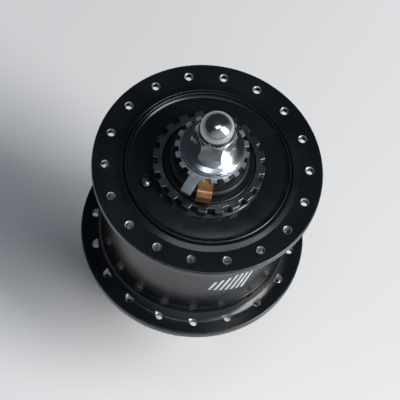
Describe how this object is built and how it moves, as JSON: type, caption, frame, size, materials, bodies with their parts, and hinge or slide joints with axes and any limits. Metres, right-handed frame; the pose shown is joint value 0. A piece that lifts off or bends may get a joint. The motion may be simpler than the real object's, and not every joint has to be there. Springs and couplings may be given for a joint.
{
  "type": "bicycle hub gear",
  "caption": "Black internally geared bicycle rear hub with spoke flanges, fixed axle, domed nuts, sprocket and shift pulley; planetary gears and a pawl freewheel inside.",
  "frame": {"origin": "on the axle, midway between the two spoke flanges", "axes": "+Z along the axle towards the brake side (left on the bicycle); the sprocket is on the -Z side; +X points along the shift cable stop"},
  "size_m": [0.094, 0.094, 0.1796],
  "materials": {
    "black_enamel": "gloss black enamel",
    "black_steel": "satin black",
    "chrome": "polished",
    "zinc_plate": "bright zinc plate",
    "hard_steel": "ground",
    "brown_passivate": "orange-brown passivated zinc",
    "bronze": "sintered bronze",
    "grey_plastic": "moulded"
  },
  "bodies": {
    "axle_group": {"axle": "zinc_plate", "fixed_sun_gear": "hard_steel", "left_cone": "hard_steel", "left_dust_cap": "black_steel", "left_lock_nut": "zinc_plate", "left_non_turn_washer": "brown_passivate", "left_serrated_washer": "zinc_plate", "left_cap_nut": "chrome", "right_cone": "hard_steel", "pulley_bracket": "grey_plastic", "cable_stop": "zinc_plate", "pulley_fixing_ring": "zinc_plate", "pulley_spring": "hard_steel", "right_cone_nut": "zinc_plate", "right_spacer": "black_steel", "right_lock_nut": "zinc_plate", "right_non_turn_washer": "zinc_plate", "right_serrated_washer": "zinc_plate", "right_cap_nut": "chrome"},
    "shell_group": {"hub_shell": "black_enamel", "left_end_cap": "black_enamel", "grease_plug": "zinc_plate", "brake_spline_ring": "zinc_plate", "ratchet_ring": "hard_steel", "right_ball_cup": "hard_steel"},
    "left_balls": {"left_ball_ring": "hard_steel"},
    "shell_balls": {"shell_ball_ring": "hard_steel"},
    "driver_balls": {"driver_ball_ring": "hard_steel"},
    "driver_group": {"driver": "hard_steel", "driver_dust_cap": "black_steel", "sprocket": "zinc_plate", "sprocket_snap_ring": "hard_steel"},
    "cage_group": {"planet_cage": "hard_steel", "planet_pin_1": "hard_steel", "planet_pin_2": "hard_steel", "planet_pin_3": "hard_steel"},
    "planet_1": {"planet_gear_1": "hard_steel"},
    "planet_2": {"planet_gear_2": "hard_steel"},
    "planet_3": {"planet_gear_3": "hard_steel"},
    "free_sun": {"free_sun_gear": "hard_steel"},
    "ring_gear_group": {"ring_gear": "hard_steel", "pawl_carrier": "bronze", "pawl_spring": "hard_steel"},
    "first_pawl": {"pawl_1": "hard_steel"},
    "second_pawl": {"pawl_2": "hard_steel"},
    "third_pawl": {"pawl_3": "hard_steel"},
    "shift_group": {"shift_sleeve": "hard_steel", "shift_pulley": "grey_plastic"}
  },
  "joints": [
    {"name": "shell_spin", "type": "hinge", "parent": "axle_group", "child": "shell_group", "pos_m": [0, 0, 0], "axis": [0, 0, 1], "continuous": true},
    {"name": "driver_spin", "type": "hinge", "parent": "axle_group", "child": "driver_group", "pos_m": [0, 0, 0], "axis": [0, 0, 1], "continuous": true},
    {"name": "cage_spin", "type": "hinge", "parent": "axle_group", "child": "cage_group", "pos_m": [0, 0, 0], "axis": [0, 0, 1], "continuous": true},
    {"name": "free_sun_spin", "type": "hinge", "parent": "axle_group", "child": "free_sun", "pos_m": [0, 0, 0], "axis": [0, 0, 1], "continuous": true},
    {"name": "ring_gear_spin", "type": "hinge", "parent": "axle_group", "child": "ring_gear_group", "pos_m": [0, 0, 0], "axis": [0, 0, 1], "continuous": true},
    {"name": "left_balls_spin", "type": "hinge", "parent": "axle_group", "child": "left_balls", "pos_m": [0, 0, 0], "axis": [0, 0, 1], "continuous": true},
    {"name": "shell_balls_spin", "type": "hinge", "parent": "axle_group", "child": "shell_balls", "pos_m": [0, 0, 0], "axis": [0, 0, 1], "continuous": true},
    {"name": "driver_balls_spin", "type": "hinge", "parent": "axle_group", "child": "driver_balls", "pos_m": [0, 0, 0], "axis": [0, 0, 1], "continuous": true},
    {"name": "planet_1_spin", "type": "hinge", "parent": "cage_group", "child": "planet_1", "pos_m": [0.021, 0, 0], "axis": [0, 0, 1], "continuous": true},
    {"name": "planet_2_spin", "type": "hinge", "parent": "cage_group", "child": "planet_2", "pos_m": [-0.0105, 0.01819, 0], "axis": [0, 0, 1], "continuous": true},
    {"name": "planet_3_spin", "type": "hinge", "parent": "cage_group", "child": "planet_3", "pos_m": [-0.0105, -0.01819, 0], "axis": [0, 0, 1], "continuous": true},
    {"name": "first_pawl_swing", "type": "hinge", "parent": "ring_gear_group", "child": "first_pawl", "pos_m": [0.0269, 0, 0.022], "axis": [0, 0, 1], "range_deg": [0, 16], "stiffness_Nm_per_rad": 0.002, "springref_deg": -11.46},
    {"name": "second_pawl_swing", "type": "hinge", "parent": "ring_gear_group", "child": "second_pawl", "pos_m": [-0.01345, 0.0233, 0.022], "axis": [0, 0, 1], "range_deg": [0, 16], "stiffness_Nm_per_rad": 0.002, "springref_deg": -11.46},
    {"name": "third_pawl_swing", "type": "hinge", "parent": "ring_gear_group", "child": "third_pawl", "pos_m": [-0.01345, -0.0233, 0.022], "axis": [0, 0, 1], "range_deg": [0, 16], "stiffness_Nm_per_rad": 0.002, "springref_deg": -11.46},
    {"name": "pulley_turn", "type": "hinge", "parent": "axle_group", "child": "shift_group", "pos_m": [0, 0, 0], "axis": [0, 0, 1], "range_deg": [0, 100], "stiffness_Nm_per_rad": 0.05, "springref_deg": -34.38}
  ],
  "couplings": [
    {"joint": "driver_spin", "follows": "shell_spin", "ratio": 0.71429},
    {"joint": "cage_spin", "follows": "shell_spin", "ratio": 0.71429},
    {"joint": "free_sun_spin", "follows": "shell_spin", "ratio": 0.33333},
    {"joint": "ring_gear_spin", "follows": "shell_spin", "ratio": 1},
    {"joint": "left_balls_spin", "follows": "shell_spin", "ratio": 0.59597},
    {"joint": "shell_balls_spin", "follows": "shell_spin", "ratio": 0.87108},
    {"joint": "driver_balls_spin", "follows": "shell_spin", "ratio": 0.4181},
    {"joint": "planet_1_spin", "follows": "shell_spin", "ratio": 0.95238},
    {"joint": "planet_2_spin", "follows": "shell_spin", "ratio": 0.95238},
    {"joint": "planet_3_spin", "follows": "shell_spin", "ratio": 0.95238},
    {"joint": "second_pawl_swing", "follows": "first_pawl_swing", "ratio": 1},
    {"joint": "third_pawl_swing", "follows": "first_pawl_swing", "ratio": 1}
  ]
}
